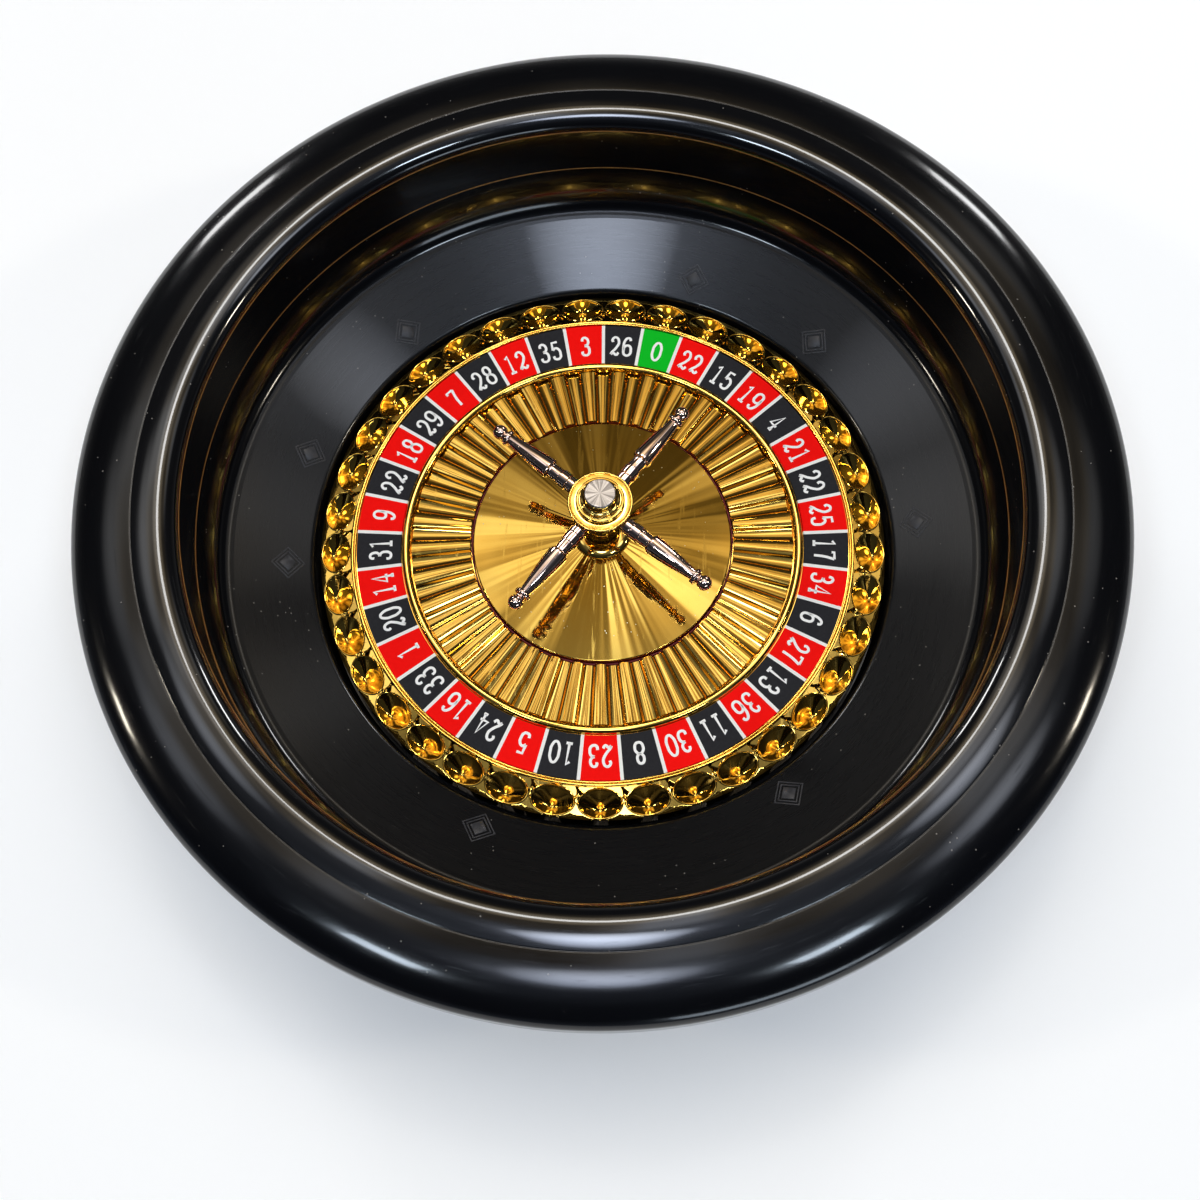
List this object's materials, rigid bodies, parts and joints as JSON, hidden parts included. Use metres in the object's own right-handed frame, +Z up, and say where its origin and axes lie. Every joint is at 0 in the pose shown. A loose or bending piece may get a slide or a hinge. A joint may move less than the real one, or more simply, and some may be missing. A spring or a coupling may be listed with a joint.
{
  "type": "roulette wheel",
  "caption": "Round black bowl with a ball track and a gold wheel head that spins on a central spindle: numbered cells, ball cups and a turret with crossed handles.",
  "frame": {"origin": "on the wheel's axis, at the height of the surface that the feet stand on", "axes": "+Z up along the wheel's axis; +X and +Y across the bowl, with the cell of zero at rest 75.4 degrees from +X towards +Y"},
  "size_m": [0.5, 0.5, 0.1185],
  "materials": {
    "bowl_plastic": "polished black, with two fine gold lines",
    "pan_plastic": "satin black",
    "foot_rubber": "matt",
    "steel": "turned",
    "rotor_gold": "gold plated, mirror bright",
    "number_print": "printed red, black and green cells with white numbers",
    "fluted_gold": "gold plated, mirror bright",
    "cone_gold": "polished",
    "hub_alloy": "cast, satin",
    "bush_nylon": "satin",
    "turret_gold": "polished",
    "handle_chrome": "polished, with a rose tint",
    "cap_steel": "spun, with radial streaks"
  },
  "bodies": {
    "bowl": {"bowl_shell": "bowl_plastic", "base_pan": "pan_plastic", "foot_1": "foot_rubber", "foot_2": "foot_rubber", "foot_3": "foot_rubber", "foot_4": "foot_rubber", "foot_5": "foot_rubber", "foot_6": "foot_rubber", "base_screw_1": "steel", "base_screw_2": "steel", "base_screw_3": "steel", "base_screw_4": "steel", "base_screw_5": "steel", "base_screw_6": "steel", "spindle": "steel", "spindle_washer": "steel", "spindle_nut": "steel", "bearing_inner_ring": "steel"},
    "wheel_head": {"rotor_pan": "rotor_gold", "cup_ring": "rotor_gold", "number_ring": "number_print", "fluted_ring": "fluted_gold", "rotor_cone": "cone_gold", "rotor_hub": "hub_alloy", "hub_screw_1": "steel", "hub_screw_2": "steel", "hub_screw_3": "steel", "hub_screw_4": "steel", "bearing_outer_ring": "steel", "hub_bush": "bush_nylon", "turret_stud": "steel", "turret_base": "turret_gold", "turret_column": "turret_gold", "turret_hub": "turret_gold", "turret_handle_1": "handle_chrome", "turret_handle_2": "handle_chrome", "turret_handle_3": "handle_chrome", "turret_handle_4": "handle_chrome", "turret_ring": "turret_gold", "turret_knob": "turret_gold", "knob_cap": "cap_steel"},
    "bearing_balls": {"bearing_cage": "steel"}
  },
  "joints": [
    {"name": "head_spin", "type": "hinge", "parent": "bowl", "child": "wheel_head", "pos_m": [0, 0, 0.04], "axis": [0, 0, 1], "continuous": true},
    {"name": "cage_spin", "type": "hinge", "parent": "bowl", "child": "bearing_balls", "pos_m": [0, 0, 0.04], "axis": [0, 0, 1], "continuous": true}
  ],
  "couplings": [
    {"joint": "cage_spin", "follows": "head_spin", "ratio": 0.578}
  ]
}
